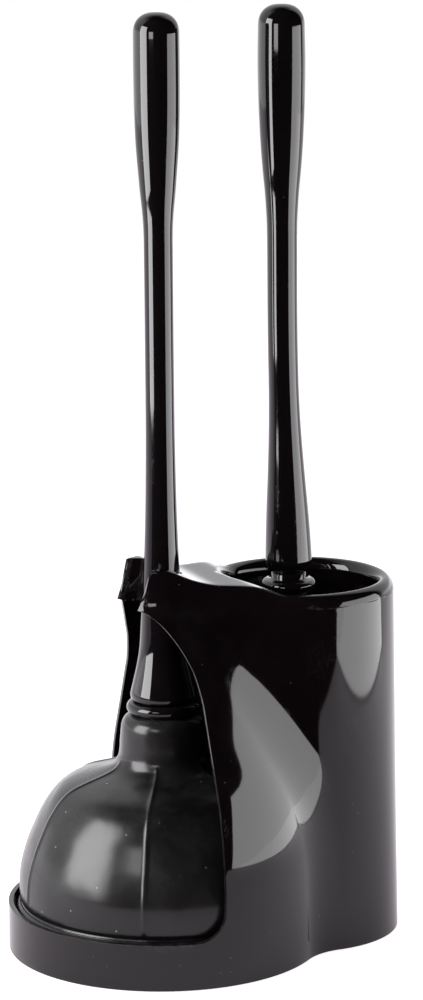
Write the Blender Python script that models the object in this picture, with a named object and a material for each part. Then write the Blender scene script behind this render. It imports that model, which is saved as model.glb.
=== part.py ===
"""Toilet plunger and bowl brush standing in one free-standing caddy.

Frame: +Z up, metres, origin at the middle of the footprint on the resting surface.
The set is symmetric about the plane x = 0.  The plunger stands at the front (-Y) and
the bowl brush in its well at the back (+Y).
"""
import math

import bmesh
import bpy

# ---------------------------------------------------------------- driving sizes (m)
TRAY_GAP = 0.0014             # all round the cup's lip, inside the tray
AXIS_GAP = 0.0757             # plunger axis to brush well axis
SHELL_WALL = 0.0024
FOOT_WAIST = 0.030            # concave waist between tray and well, at the foot
TOP_WAIST = 0.160             # the same waist at the top, nearly straight
TRAY_HEIGHT = 0.0240
RIM_HEIGHT = 0.1849           # top of the brush well's rim
COLLAR_HEIGHT = 0.1990        # top of the collar
COLLAR_BOTTOM = 0.1789
COLLAR_RADIUS = 0.0227
COLLAR_TOP_RADIUS = 0.0205
SLOT_RADIUS = 0.0104          # back of the collar's slot, round the plunger shaft
SLOT_TIP_LOW = 0.0137         # half width of the slot at its tips, at the collar's foot
SLOT_TIP_HIGH = 0.0162        # and at its top
TIP_REACH_LOW = 0.0170        # how far the tips stand in front of the shaft, at the foot
TIP_REACH_HIGH = 0.0126       # and at the top
OPENING_BACK = 0.0008         # the opening's edge stands this far behind the shaft's axis
SWEEP_LENGTH = 0.0160         # curve from the tray's rim up into that edge
SWEEP_HEIGHT = 0.0150
OPENING_BEND = 0.1400         # above this the edge leans forward to the collar

WELL_BORE = 0.0390
WELL_ROLL = 0.0090            # from the bore to the outside, at the rim
WELL_DRAFT = 0.0025           # and this much more at the foot
WELL_LIP_FLARE = 0.0040       # the well's mouth opens out by this much
SKIRT_WALL = 0.0020
SKIRT_BOTTOM = 0.1650
WELL_CUP_WALL = 0.0020
WELL_CUP_OVERLAP = 0.0070     # how far the cup's socket reaches up over the skirt
WELL_FLOOR = 0.1198           # top of the well cup's floor

FOOT_HEIGHT = 0.0005          # shell edge above the resting surface
PLATE_BOTTOM = 0.0008
PLATE_THICKNESS = 0.0026
PAD_RADIUS = 0.0060
PAD_THICKNESS = 0.0016
PAD_INSET = 0.0180            # pad centre in from the outside of the shell

HANDLE_CROWN = 0.0098         # height of a handle's domed end
PLUNGER_HEIGHT = 0.4740       # top of the plunger's handle
GRIP_RADIUS = 0.01165
GRIP_BOTTOM = 0.4250
SHAFT_RADIUS = 0.0072
SHAFT_TOP = 0.3660
SHAFT_BOTTOM = 0.2757
PLUNGER_FOOT_RADIUS = 0.0164
PLUNGER_RING_RADIUS = 0.01845
PLUNGER_RING_HEIGHT = 0.0062

CUP_LIP_RADIUS = 0.0762
CUP_LIP_HEIGHT = 0.0200
CUP_LIP_STEP = 0.0020         # the lip stands this far out from the wall
CUP_NECK_RADIUS = 0.0222
CUP_NECK_TOP = 0.1212
CUP_SHOULDER = 0.0945         # where the neck meets the dome
CUP_WALL = 0.0035
HUB_RADIUS = 0.0120
HUB_LENGTH = 0.0230
HUB_FLANGE_RADIUS = 0.0150
HUB_FLANGE = 0.0035
STUD_RADIUS = 0.0060
STUD_LENGTH = 0.0440
STUD_IN_HUB = 0.0180

BRUSH_HEIGHT = 0.4756
BRUSH_GRIP_RADIUS = 0.0121
BRUSH_GRIP_MIDDLE = 0.4470
BRUSH_SHAFT_RADIUS = 0.0075
BRUSH_SHAFT_TOP = 0.3640
BRUSH_SHAFT_BOTTOM = 0.2850
BRUSH_FOOT_RADIUS = 0.0120
BRUSH_FOOT_BOTTOM = 0.1880
BRUSH_SIDE_STEP = 0.0030      # the handle's upper part stands this far forward of its foot
BRUSH_FORWARD = 0.0060        # brush axis in front of the well's axis
DISC_RADIUS = 0.0140
DISC_HEIGHT = 0.0058
DISC_DROP = 0.0096            # from the top of the disc's neck to the core
DISC_NECK_RADIUS = 0.0088
CORE_RADIUS = 0.0070
BRISTLE_ROWS = 5
BRISTLE_ROW_HEIGHT = 0.0088
BRISTLE_GAP = 0.0020          # from the widest row to the well's bore
BRISTLE_TAPER = 0.0060        # the first and last rows are smaller by this much
BRUSH_STUD_RADIUS = 0.0035
BRUSH_STUD_LENGTH = 0.0300

GAP = 0.0003                  # clearance between pieces that touch
LIFT_GAP = 0.0006             # brush and cup above the floors they rest on
PAST = 0.010                  # cutters run this far past what they cut

# ---------------------------------------------------------------- places
TRAY_RADIUS = CUP_LIP_RADIUS + TRAY_GAP + SHELL_WALL
WELL_TOP_RADIUS = WELL_BORE + WELL_ROLL
WELL_RADIUS = WELL_TOP_RADIUS + WELL_DRAFT
CUP_WALL_RADIUS = CUP_LIP_RADIUS - CUP_LIP_STEP
BRISTLE_REACH = WELL_BORE - BRUSH_FORWARD - BRISTLE_GAP
DEPTH = TRAY_RADIUS + AXIS_GAP + WELL_RADIUS
PLUNGER_Y = TRAY_RADIUS - DEPTH / 2
WELL_Y = PLUNGER_Y + AXIS_GAP
BRUSH_Y = WELL_Y - BRUSH_FORWARD
PLATE_TOP = PLATE_BOTTOM + PLATE_THICKNESS
CUP_BOTTOM = PLATE_TOP + LIFT_GAP
RING_BOTTOM = CUP_NECK_TOP + GAP
HANDLE_BOTTOM = RING_BOTTOM + PLUNGER_RING_HEIGHT + GAP
DISC_TOP = BRUSH_FOOT_BOTTOM - GAP
CORE_TOP = DISC_TOP - DISC_DROP

ROUND = 24                    # sides of a turned piece
WIDE_ROUND = 40               # sides of the cup and of the well's pieces
SIDE_STEPS = 7                # outline steps: front to side,
TURN_STEPS = 3                # side to waist,
WAIST_STEPS = 4               # along the waist
BACK_STEPS = 8                # and round the well


# ---------------------------------------------------------------- helpers
def clear_scene():
    for old in list(bpy.data.objects):
        bpy.data.objects.remove(old, do_unlink=True)


def plastic(name, colour, roughness):
    made = bpy.data.materials.new(name)
    made.use_nodes = True
    shader = made.node_tree.nodes["Principled BSDF"]
    shader.inputs["Base Color"].default_value = (*colour, 1.0)
    shader.inputs["Roughness"].default_value = roughness
    shader.inputs["Metallic"].default_value = 0.0
    return made


def curve_value(keys, x):
    """Smooth value at x through (x, value) keys in rising x, without overshoot."""
    if x <= keys[0][0]:
        return keys[0][1]
    if x >= keys[-1][0]:
        return keys[-1][1]
    slopes = [(b[1] - a[1]) / (b[0] - a[0]) for a, b in zip(keys, keys[1:])]
    tangents = [slopes[0]]
    for before, after in zip(slopes, slopes[1:]):
        flat = before * after <= 0
        tangents.append(0.0 if flat else 2 * before * after / (before + after))
    tangents.append(slopes[-1])
    i = max(k for k in range(len(slopes)) if keys[k][0] <= x)
    width = keys[i + 1][0] - keys[i][0]
    t = (x - keys[i][0]) / width
    start = (1 + 2 * t) * (1 - t) ** 2 * keys[i][1] + t * (1 - t) ** 2 * width * tangents[i]
    end = t * t * (3 - 2 * t) * keys[i + 1][1] + t * t * (t - 1) * width * tangents[i + 1]
    return start + end


def arc(centre, radius, start, end, steps):
    """Points of an arc in degrees, both ends included; centre and result are pairs."""
    points = []
    for k in range(steps + 1):
        angle = math.radians(start + (end - start) * k / steps)
        points.append((centre[0] + radius * math.cos(angle), centre[1] + radius * math.sin(angle)))
    return points


def add_object(name, bm, material, crease=35.0):
    bmesh.ops.recalc_face_normals(bm, faces=bm.faces)
    mesh = bpy.data.meshes.new(name)
    bm.to_mesh(mesh)
    bm.free()
    mesh.shade_smooth()
    mesh.set_sharp_from_angle(angle=math.radians(crease))
    made = bpy.data.objects.new(name, mesh)
    bpy.context.collection.objects.link(made)
    made.data.materials.append(material)
    return made


def turned(name, outline, material, y=0.0, sides=ROUND):
    """A body turned about the vertical axis at (0, y).

    outline is (radius, height) pairs; it either starts and ends on the axis or is closed
    round on itself.
    """
    bm = bmesh.new()
    rings = []
    for radius, height in outline:
        if radius == 0.0:
            rings.append([bm.verts.new((0.0, y, height))])
            continue
        ring = []
        for k in range(sides):
            angle = 2 * math.pi * k / sides
            ring.append(bm.verts.new((radius * math.cos(angle), y + radius * math.sin(angle), height)))
        rings.append(ring)
    pairs = list(zip(rings, rings[1:]))
    if len(rings[0]) > 1:
        pairs.append((rings[-1], rings[0]))
    for upper, lower in pairs:
        for k in range(sides):
            n = (k + 1) % sides
            if len(upper) == 1:
                bm.faces.new((upper[0], lower[k], lower[n]))
            elif len(lower) == 1:
                bm.faces.new((upper[k], lower[0], upper[n]))
            else:
                bm.faces.new((upper[k], lower[k], lower[n], upper[n]))
    return add_object(name, bm, material)


def cutter(made):
    made.hide_render = True
    made.display_type = "WIRE"
    return made


def boolean(target, tool, operation="DIFFERENCE"):
    change = target.modifiers.new(tool.name, "BOOLEAN")
    change.operation = operation
    change.object = tool
    change.solver = "EXACT"


# ---------------------------------------------------------------- caddy outline
def cowl_radius(z):
    """Outside radius about the plunger's axis: tray wall, bell of the cowl, collar."""
    keys = [
        (0.0, TRAY_RADIUS),
        (0.052, TRAY_RADIUS - 0.0006),
        (0.085, 0.0738),
        (0.110, 0.0635),
        (0.140, 0.0514),
        (0.158, 0.0430),
        (0.170, 0.0335),
        (0.177, 0.0258),
        (COLLAR_BOTTOM + 0.001, COLLAR_RADIUS),
        (COLLAR_HEIGHT, COLLAR_TOP_RADIUS),
    ]
    return curve_value(keys, z)


def well_radius(z):
    share = min(z / RIM_HEIGHT, 1.0)
    return WELL_RADIUS + (WELL_TOP_RADIUS - WELL_RADIUS) * share


def waist_radius(z):
    share = min(z / RIM_HEIGHT, 1.0)
    bend = (1 - share) / FOOT_WAIST + share / TOP_WAIST
    return 1 / bend


def half_outline(z, inset=0.0):
    """Right half (x >= 0) of the caddy's outline at height z, front to back, inset inwards."""
    front = cowl_radius(z) - inset
    back = well_radius(z) - inset
    waist = waist_radius(z) + inset
    reach_front = front + waist
    reach_back = back + waist
    along = (reach_front ** 2 - reach_back ** 2 + AXIS_GAP ** 2) / (2 * AXIS_GAP)
    aside = math.sqrt(reach_front ** 2 - along ** 2)
    front_end = math.degrees(math.atan2(along, aside))
    back_start = math.degrees(math.atan2(along - AXIS_GAP, aside))
    side = 0.0 if front_end > 15.0 else front_end - 15.0
    points = arc((0.0, PLUNGER_Y), front, -90.0, side, SIDE_STEPS)
    points += arc((0.0, PLUNGER_Y), front, side, front_end, TURN_STEPS)[1:]
    middle = (aside, PLUNGER_Y + along)
    points += arc(middle, waist, 180.0 + front_end, 180.0 + back_start, WAIST_STEPS)[1:-1]
    points += arc((0.0, WELL_Y), back, back_start, 90.0, BACK_STEPS)
    return points


def deck_height(y):
    """Height of the caddy's top surface, from the collar down to the well's rim."""
    step = COLLAR_HEIGHT - RIM_HEIGHT
    keys = [
        (PLUNGER_Y - 0.004, COLLAR_HEIGHT),
        (PLUNGER_Y + 0.011, RIM_HEIGHT + 0.56 * step),
        (PLUNGER_Y + 0.020, RIM_HEIGHT + 0.41 * step),
        (PLUNGER_Y + 0.034, RIM_HEIGHT + 0.35 * step),
        (PLUNGER_Y + 0.052, RIM_HEIGHT),
    ]
    return curve_value(keys, y)


def edge_round(y):
    """Radius of the rounded top edge: small at the collar, full on the well's rim."""
    keys = [(PLUNGER_Y, 0.0012), (WELL_Y, 0.0044)]
    return curve_value(keys, y)


def lofted(name, rows, material):
    """Closed body through rows of mirrored half outlines, capped by strips across x."""
    bm = bmesh.new()
    rings = []
    for row in rows:
        right = [bm.verts.new(p) for p in row]
        left = [bm.verts.new((-p[0], p[1], p[2])) for p in row[1:-1]]
        rings.append(right + left[::-1])
    count = len(rings[0])
    for lower, upper in zip(rings, rings[1:]):
        for k in range(count):
            n = (k + 1) % count
            bm.faces.new((lower[k], lower[n], upper[n], upper[k]))
    last = len(rows[0]) - 1
    for ring in (rings[0], rings[-1]):
        for k in range(last):
            corners = [ring[k], ring[k + 1], ring[(count - k - 1) % count], ring[(count - k) % count]]
            face = [v for i, v in enumerate(corners) if v not in corners[:i]]
            bm.faces.new(face)
    bmesh.ops.remove_doubles(bm, verts=bm.verts, dist=0.000001)
    return add_object(name, bm, material)


def flat_row(z, inset=0.0, height=None):
    """Outline at height z, drawn at that height or at another one."""
    level = z if height is None else height
    points = half_outline(z, inset)
    row = [(x, y, level) for x, y in points]
    row[0] = (0.0, row[0][1], level)
    row[-1] = (0.0, row[-1][1], level)
    return row


def deck_row(drop, inset):
    """One row of the rounded top edge; drop and inset are shares of its radius."""
    row = []
    for k, (_, rough_y) in enumerate(half_outline(RIM_HEIGHT)):
        x, y = half_outline(deck_height(rough_y))[k]
        radius = edge_round(y)
        row.append((x, y, deck_height(y) - drop * radius, inset * radius))
    inner = []
    for k, (x, y, z, moved) in enumerate(row):
        before = row[max(k - 1, 0)]
        after = row[min(k + 1, len(row) - 1)]
        run_x = after[0] - before[0]
        run_y = after[1] - before[1]
        if k in (0, len(row) - 1):
            run_x, run_y = (1.0, 0.0) if k == 0 else (-1.0, 0.0)
        size = math.hypot(run_x, run_y)
        inner.append((x - moved * run_y / size, y + moved * run_x / size, z))
    inner[0] = (0.0, inner[0][1], inner[0][2])
    inner[-1] = (0.0, inner[-1][1], inner[-1][2])
    return inner


COWL_LEVELS = (0.052, 0.070, 0.085, 0.098, 0.110, 0.125, 0.140, 0.150, 0.158, 0.164, 0.170, 0.174, 0.177)


def outer_rows():
    rows = [flat_row(0.0, height=FOOT_HEIGHT), flat_row(TRAY_HEIGHT)]
    rows += [flat_row(z) for z in COWL_LEVELS]
    rows.append(flat_row(COLLAR_BOTTOM + 0.0012))
    for degrees in (0, 30, 60, 90):
        angle = math.radians(degrees)
        rows.append(deck_row(1 - math.sin(angle), 1 - math.cos(angle)))
    return rows


def cavity_rows():
    """The hollow under the cowl and round the well, open below."""
    top = COLLAR_BOTTOM - SHELL_WALL / 2
    rows = [flat_row(0.0, SHELL_WALL, height=-PAST), flat_row(TRAY_HEIGHT, SHELL_WALL)]
    rows += [flat_row(z, SHELL_WALL) for z in COWL_LEVELS[:-2]]
    rows.append(flat_row(COWL_LEVELS[-2], SHELL_WALL * 1.3))
    rows.append(flat_row(COWL_LEVELS[-1], SHELL_WALL * 1.6, height=top))
    return rows


def opening_outline():
    """Side view (y, z) of the cowl's front opening, clockwise from the tray's rim."""
    far = PLUNGER_Y - TRAY_RADIUS - PAST
    edge = PLUNGER_Y + OPENING_BACK
    points = [(far, TRAY_HEIGHT)]
    for across, up in arc((0.0, 0.0), 1.0, -90.0, 0.0, 4):
        points.append((edge - SWEEP_LENGTH * (1 - across), TRAY_HEIGHT + SWEEP_HEIGHT * (1 + up)))
    start = (edge, OPENING_BEND)
    pull_up = (edge, 0.158)
    pull_in = (PLUNGER_Y - 0.0090, 0.170)
    tip = (PLUNGER_Y - 0.0175, COLLAR_BOTTOM + 0.0001)
    steps = 6
    for k in range(steps + 1):
        t = k / steps
        weights = ((1 - t) ** 3, 3 * t * (1 - t) ** 2, 3 * t * t * (1 - t), t ** 3)
        spots = (start, pull_up, pull_in, tip)
        points.append(tuple(sum(w * s[i] for w, s in zip(weights, spots)) for i in (0, 1)))
    points.append((far, COLLAR_BOTTOM + 0.0001))
    return points


def prism_x(name, outline, half_width, material):
    """An outline in (y, z), extruded both ways along x."""
    bm = bmesh.new()
    near = [bm.verts.new((half_width, y, z)) for y, z in outline]
    off = [bm.verts.new((-half_width, y, z)) for y, z in outline]
    bm.faces.new(near)
    bm.faces.new(off[::-1])
    for k in range(len(outline)):
        n = (k + 1) % len(outline)
        bm.faces.new((near[k], off[k], off[n], near[n]))
    return add_object(name, bm, material)


def slot_cutter(material):
    """V slot of the collar, round at the back and wider at the top of its tips."""
    past_tips = 2.0
    bm = bmesh.new()
    rings = []
    below = COLLAR_BOTTOM - 2 * PAST
    above = COLLAR_HEIGHT + PAST
    for z in (below, above):
        share = (z - COLLAR_BOTTOM) / (COLLAR_HEIGHT - COLLAR_BOTTOM)
        tip = SLOT_TIP_LOW + (SLOT_TIP_HIGH - SLOT_TIP_LOW) * share
        reach = TIP_REACH_LOW + (TIP_REACH_HIGH - TIP_REACH_LOW) * share
        wide = SLOT_RADIUS + (tip - SLOT_RADIUS) * past_tips
        front_y = PLUNGER_Y - reach * past_tips
        points = arc((0.0, PLUNGER_Y), SLOT_RADIUS, 0.0, 180.0, 10)
        points = [(wide, front_y)] + points + [(-wide, front_y)]
        rings.append([bm.verts.new((x, y, z)) for x, y in points])
    bm.faces.new(rings[0][::-1])
    bm.faces.new(rings[1])
    count = len(rings[0])
    for k in range(count):
        n = (k + 1) % count
        bm.faces.new((rings[0][k], rings[0][n], rings[1][n], rings[1][k]))
    return cutter(add_object("slot_cut", bm, material))


# ---------------------------------------------------------------- caddy pieces
def make_shell(material):
    shell = lofted("caddy_shell", outer_rows(), material)
    cavity = cutter(lofted("cavity_cut", cavity_rows(), material))
    opening = cutter(prism_x("opening_cut", opening_outline(), TRAY_RADIUS + PAST, material))
    skirt_radius = WELL_BORE + SKIRT_WALL
    buried = RIM_HEIGHT - SHELL_WALL
    rod = [(0.0, buried), (skirt_radius, buried), (skirt_radius, SKIRT_BOTTOM), (0.0, SKIRT_BOTTOM)]
    skirt = cutter(turned("skirt_join", rod, material, WELL_Y, sides=WIDE_ROUND))
    flare = WELL_LIP_FLARE
    mouth = [(0.0, COLLAR_HEIGHT + PAST), (WELL_BORE + flare, COLLAR_HEIGHT + PAST)]
    mouth += [(WELL_BORE + flare, RIM_HEIGHT + 0.0022)]
    mouth += [(WELL_BORE + flare * 0.42, RIM_HEIGHT - flare * 0.22)]
    mouth += [(WELL_BORE + flare * 0.08, RIM_HEIGHT - flare * 0.85)]
    mouth += [(WELL_BORE, RIM_HEIGHT - flare * 1.6)]
    mouth += [(WELL_BORE, SKIRT_BOTTOM - PAST), (0.0, SKIRT_BOTTOM - PAST)]
    bore = cutter(turned("well_bore_cut", mouth, material, WELL_Y, sides=WIDE_ROUND))
    boolean(shell, cavity)
    boolean(shell, skirt, "UNION")
    boolean(shell, bore)
    boolean(shell, opening)
    boolean(shell, slot_cutter(material))
    return shell


def make_plate(material):
    inset = SHELL_WALL + GAP
    rows = [flat_row(0.0, inset, height=PLATE_BOTTOM), flat_row(0.0, inset, height=PLATE_TOP)]
    plate = lofted("caddy_base_plate", rows, material)
    depth = PAD_THICKNESS + GAP
    for index, (x, y) in enumerate(pad_places()):
        hole = [(0.0, depth), (PAD_RADIUS + GAP, depth), (PAD_RADIUS + GAP, -PAST), (0.0, -PAST)]
        pocket = cutter(turned(f"pad_pocket_{index + 1}", hole, material))
        pocket.location = (x, y, 0.0)
        boolean(plate, pocket)
    return plate


def pad_places():
    """Two pads under the front of the tray and two under the sides of the well."""
    front = TRAY_RADIUS - PAD_INSET
    back = WELL_RADIUS - PAD_INSET
    places = []
    for side in (1, -1):
        angle = math.radians(40.0)
        places.append((side * front * math.cos(angle), PLUNGER_Y - front * math.sin(angle)))
    for side in (1, -1):
        angle = math.radians(35.0)
        places.append((side * back * math.cos(angle), WELL_Y + back * math.sin(angle)))
    return places


def make_pads(material):
    outline = [(0.0, PAD_THICKNESS), (PAD_RADIUS, PAD_THICKNESS), (PAD_RADIUS, 0.0), (0.0, 0.0)]
    for index, (x, y) in enumerate(pad_places()):
        pad = turned(f"foot_pad_{index + 1}", outline, material)
        pad.location = (x, y, 0.0)


def make_well_cup(material):
    """Drip cup pushed up over the skirt of the shell: stepped wall and a floor."""
    socket_in = WELL_BORE + SKIRT_WALL + GAP
    socket_out = socket_in + WELL_CUP_WALL
    step_top = SKIRT_BOTTOM - GAP
    top = step_top + WELL_CUP_OVERLAP
    inside = WELL_BORE
    outside = WELL_BORE + WELL_CUP_WALL
    corner = 0.004
    outline = [(0.0, WELL_FLOOR)]
    outline += arc((inside - corner, WELL_FLOOR + corner), corner, -90.0, 0.0, 3)
    outline += [(inside, step_top), (socket_in, step_top), (socket_in, top), (socket_out, top)]
    outline += [(socket_out, step_top - 0.0018), (outside, step_top - 0.0045)]
    low = WELL_FLOOR - WELL_CUP_WALL
    outline += arc((outside - corner, low + corner), corner, 0.0, -90.0, 3)
    outline += [(0.0, low)]
    return turned("brush_well_cup", outline, material, WELL_Y, sides=WIDE_ROUND)


# ---------------------------------------------------------------- plunger pieces
def handle_outline(height, top_keys, foot, bore, bore_depth):
    """Turned handle from its domed end to its foot, with a blind bore for the stud."""
    dome = top_keys[0][1]
    outline = [(0.0, height)]
    for degrees in (68, 46, 24, 6):
        angle = math.radians(degrees)
        radius = dome * math.cos(angle) ** 0.85
        outline.append((radius, height - HANDLE_CROWN * (1 - math.sin(angle))))
    keys = [(-z, r) for z, r in top_keys]
    for before, after in zip(keys, keys[1:]):
        for share in (0.0, 0.5):
            at = before[0] + (after[0] - before[0]) * share
            outline.append((curve_value(keys, at), -at))
    outline.append((keys[-1][1], -keys[-1][0]))
    bottom = foot[-1][1]
    outline += foot
    outline += [(bore, bottom), (bore, bottom + bore_depth - bore * 0.5), (0.0, bottom + bore_depth)]
    return outline


def make_plunger_handle(material):
    keys = [
        (PLUNGER_HEIGHT - HANDLE_CROWN, GRIP_RADIUS),
        (GRIP_BOTTOM, GRIP_RADIUS - 0.0001),
        (0.4055, 0.01055),
        (0.3858, 0.00890),
        (SHAFT_TOP, SHAFT_RADIUS + 0.0001),
        (SHAFT_BOTTOM, SHAFT_RADIUS + 0.0001),
        (0.2350, 0.0078),
        (0.2043, 0.0088),
        (0.1666, 0.01078),
        (0.1540, 0.0117),
        (0.1416, 0.0141),
        (0.1330, PLUNGER_FOOT_RADIUS - 0.0004),
    ]
    foot = [(PLUNGER_FOOT_RADIUS, 0.1305), (PLUNGER_FOOT_RADIUS - 0.001, HANDLE_BOTTOM)]
    stud_top = CUP_NECK_TOP - STUD_IN_HUB + STUD_LENGTH
    depth = stud_top - HANDLE_BOTTOM + 0.004
    outline = handle_outline(PLUNGER_HEIGHT, keys, foot, STUD_RADIUS + GAP, depth)
    return turned("plunger_handle", outline, material, PLUNGER_Y)


def make_plunger_ring(material):
    half = PLUNGER_RING_HEIGHT / 2
    middle = RING_BOTTOM + half
    bore = STUD_RADIUS + GAP
    outline = [(bore, middle + half)]
    outline += arc((PLUNGER_RING_RADIUS - half, middle), half, 90.0, -90.0, 6)
    outline += [(bore, middle - half)]
    return turned("plunger_ring", outline, material, PLUNGER_Y)


def make_stud(material):
    bottom = CUP_NECK_TOP - STUD_IN_HUB
    top = bottom + STUD_LENGTH
    chamfer = 0.001
    outline = [(0.0, top), (STUD_RADIUS - chamfer, top), (STUD_RADIUS, top - chamfer)]
    outline += [(STUD_RADIUS, bottom + chamfer), (STUD_RADIUS - chamfer, bottom), (0.0, bottom)]
    return turned("plunger_stud", outline, material, PLUNGER_Y)


def make_hub(material):
    """Threaded hub inside the rubber neck; the stud screws into it from above."""
    top = CUP_NECK_TOP - GAP
    bottom = top - HUB_LENGTH
    well = CUP_NECK_TOP - STUD_IN_HUB - GAP
    bore = STUD_RADIUS + GAP
    step = bottom + HUB_FLANGE
    outline = [(0.0, well), (bore, well), (bore, top), (HUB_RADIUS, top), (HUB_RADIUS, step)]
    outline += [(HUB_FLANGE_RADIUS, step), (HUB_FLANGE_RADIUS, bottom), (0.0, bottom)]
    return turned("cup_hub", outline, material, PLUNGER_Y)


def cup_outside():
    """Rubber cup's outside, from the top of its neck to its foot."""
    keys = [
        (-CUP_NECK_TOP + 0.0030, CUP_NECK_RADIUS - 0.0016),
        (-0.1120, CUP_NECK_RADIUS - 0.0006),
        (-0.1040, CUP_NECK_RADIUS),
        (-0.0975, CUP_NECK_RADIUS + 0.0016),
    ]
    outline = [(CUP_NECK_RADIUS - 0.0056, CUP_NECK_TOP), (CUP_NECK_RADIUS - 0.0030, CUP_NECK_TOP - 0.0007)]
    outline += [(radius, -depth) for depth, radius in keys]
    outline += [(0.0262, CUP_SHOULDER + 0.0005), (0.0310, 0.0938), (0.0412, 0.0916)]
    outline += [(0.0514, 0.0865), (0.0607, 0.0762), (0.0656, 0.0658), (0.0700, 0.0545)]
    outline += [(0.0729, 0.0440), (CUP_WALL_RADIUS, 0.0330), (CUP_WALL_RADIUS - 0.0004, 0.0262)]
    lip_middle = CUP_BOTTOM + CUP_LIP_HEIGHT / 2
    outline += [(CUP_LIP_RADIUS - 0.0012, 0.0240), (CUP_LIP_RADIUS, CUP_BOTTOM + CUP_LIP_HEIGHT - 0.003)]
    outline += [(CUP_LIP_RADIUS, lip_middle - 0.003), (CUP_LIP_RADIUS - 0.0022, CUP_BOTTOM)]
    return outline


def make_cup(material):
    """Bell-shaped rubber cup, open below, with a bore in its neck for the hub."""
    outside = cup_outside()
    inside = [(CUP_LIP_RADIUS - 0.0070, CUP_BOTTOM), (CUP_LIP_RADIUS - 0.0058, CUP_BOTTOM + 0.012)]
    inside += [(CUP_WALL_RADIUS - CUP_WALL, 0.0330), (0.0665, 0.0540), (0.0616, 0.0650)]
    inside += [(0.0570, 0.0735), (0.0485, 0.0828), (0.0395, 0.0880), (0.0300, 0.0902), (0.0210, 0.0912)]
    hub_bottom = CUP_NECK_TOP - GAP - HUB_LENGTH
    flange = HUB_FLANGE_RADIUS + GAP
    step = hub_bottom + HUB_FLANGE + GAP
    inside += [(0.0100, 0.0916), (0.0, 0.0918)]
    roof = hub_bottom - GAP
    hole = [(0.0, roof), (flange, roof), (flange, step)]
    hole += [(HUB_RADIUS + GAP, step), (HUB_RADIUS + GAP, CUP_NECK_TOP)]
    outline = hole + outside + inside
    return turned("plunger_cup", outline, material, PLUNGER_Y, sides=WIDE_ROUND)


# ---------------------------------------------------------------- brush pieces
def make_brush_handle(material):
    keys = [
        (BRUSH_HEIGHT - HANDLE_CROWN, BRUSH_GRIP_RADIUS - 0.0004),
        (BRUSH_GRIP_MIDDLE, BRUSH_GRIP_RADIUS),
        (0.4216, 0.0116),
        (0.4016, 0.01047),
        (0.3816, 0.0086),
        (BRUSH_SHAFT_TOP, BRUSH_SHAFT_RADIUS + 0.0001),
        (BRUSH_SHAFT_BOTTOM, BRUSH_SHAFT_RADIUS + 0.0001),
        (0.2595, 0.0083),
        (0.2388, 0.0094),
        (0.2181, 0.0107),
        (0.1972, BRUSH_FOOT_RADIUS - 0.0001),
    ]
    foot = [(BRUSH_FOOT_RADIUS, 0.1942), (BRUSH_FOOT_RADIUS - 0.0030, BRUSH_FOOT_BOTTOM)]
    depth = BRUSH_STUD_LENGTH / 2 + 0.003
    outline = handle_outline(BRUSH_HEIGHT, keys, foot, BRUSH_STUD_RADIUS + GAP, depth)
    handle = turned("brush_handle", outline, material, BRUSH_Y)
    side_step = [(0.195, 0.0), (0.330, BRUSH_SIDE_STEP), (BRUSH_HEIGHT, BRUSH_SIDE_STEP)]
    for vert in handle.data.vertices:
        vert.co.y -= curve_value(side_step, vert.co.z)
    return handle


def make_disc(material):
    """Splash disc between the handle's foot and the brush head."""
    bore = BRUSH_STUD_RADIUS + GAP
    rim = DISC_HEIGHT / 2
    low = CORE_TOP + GAP
    middle = low + rim
    outline = [(bore, DISC_TOP), (DISC_NECK_RADIUS, DISC_TOP), (DISC_NECK_RADIUS, middle + rim * 0.4)]
    outline += arc((DISC_RADIUS - rim, middle), rim, 60.0, -90.0, 5)
    outline += [(bore, low)]
    return turned("splash_disc", outline, material, BRUSH_Y)


def make_brush_stud(material):
    """Screw that joins the handle, the disc and the head; a third of it is in the core."""
    top = BRUSH_FOOT_BOTTOM + BRUSH_STUD_LENGTH / 2
    bottom = top - BRUSH_STUD_LENGTH
    outline = [(0.0, top), (BRUSH_STUD_RADIUS, top), (BRUSH_STUD_RADIUS, bottom), (0.0, bottom)]
    return turned("brush_stud", outline, material, BRUSH_Y, sides=16)


def make_core(material):
    """Core of the brush head: a plain stem with a round end, bored for the screw."""
    bottom = WELL_FLOOR + LIFT_GAP
    bore = BRUSH_STUD_RADIUS + GAP
    bore_bottom = BRUSH_FOOT_BOTTOM - BRUSH_STUD_LENGTH / 2 - GAP
    outline = [(0.0, bore_bottom), (bore, bore_bottom), (bore, CORE_TOP), (CORE_RADIUS, CORE_TOP)]
    outline += arc((0.0, bottom + CORE_RADIUS), CORE_RADIUS, 0.0, -90.0, 5)[:-1]
    outline += [(0.0, bottom)]
    return turned("brush_core", outline, material, BRUSH_Y)


def bristle_row_reach(index):
    middle = (BRISTLE_ROWS - 1) / 2
    away = abs(index - middle) / middle
    return BRISTLE_REACH - BRISTLE_TAPER * away ** 2


def make_bristles(material):
    """Rings of nylon tufts round the core, fullest in the middle of the head."""
    low = WELL_FLOOR + LIFT_GAP + CORE_RADIUS + 0.0002
    high = CORE_TOP - 0.004
    pitch = (high - low - BRISTLE_ROW_HEIGHT) / (BRISTLE_ROWS - 1)
    hole = CORE_RADIUS + GAP
    for index in range(BRISTLE_ROWS):
        base = low + pitch * index
        reach = bristle_row_reach(index)
        root = BRISTLE_ROW_HEIGHT * 0.22
        outline = [(hole, base + BRISTLE_ROW_HEIGHT - root), (reach, base + BRISTLE_ROW_HEIGHT)]
        outline += [(reach, base), (hole, base + root)]
        turned(f"bristle_row_{index + 1}", outline, material, BRUSH_Y)


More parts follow.
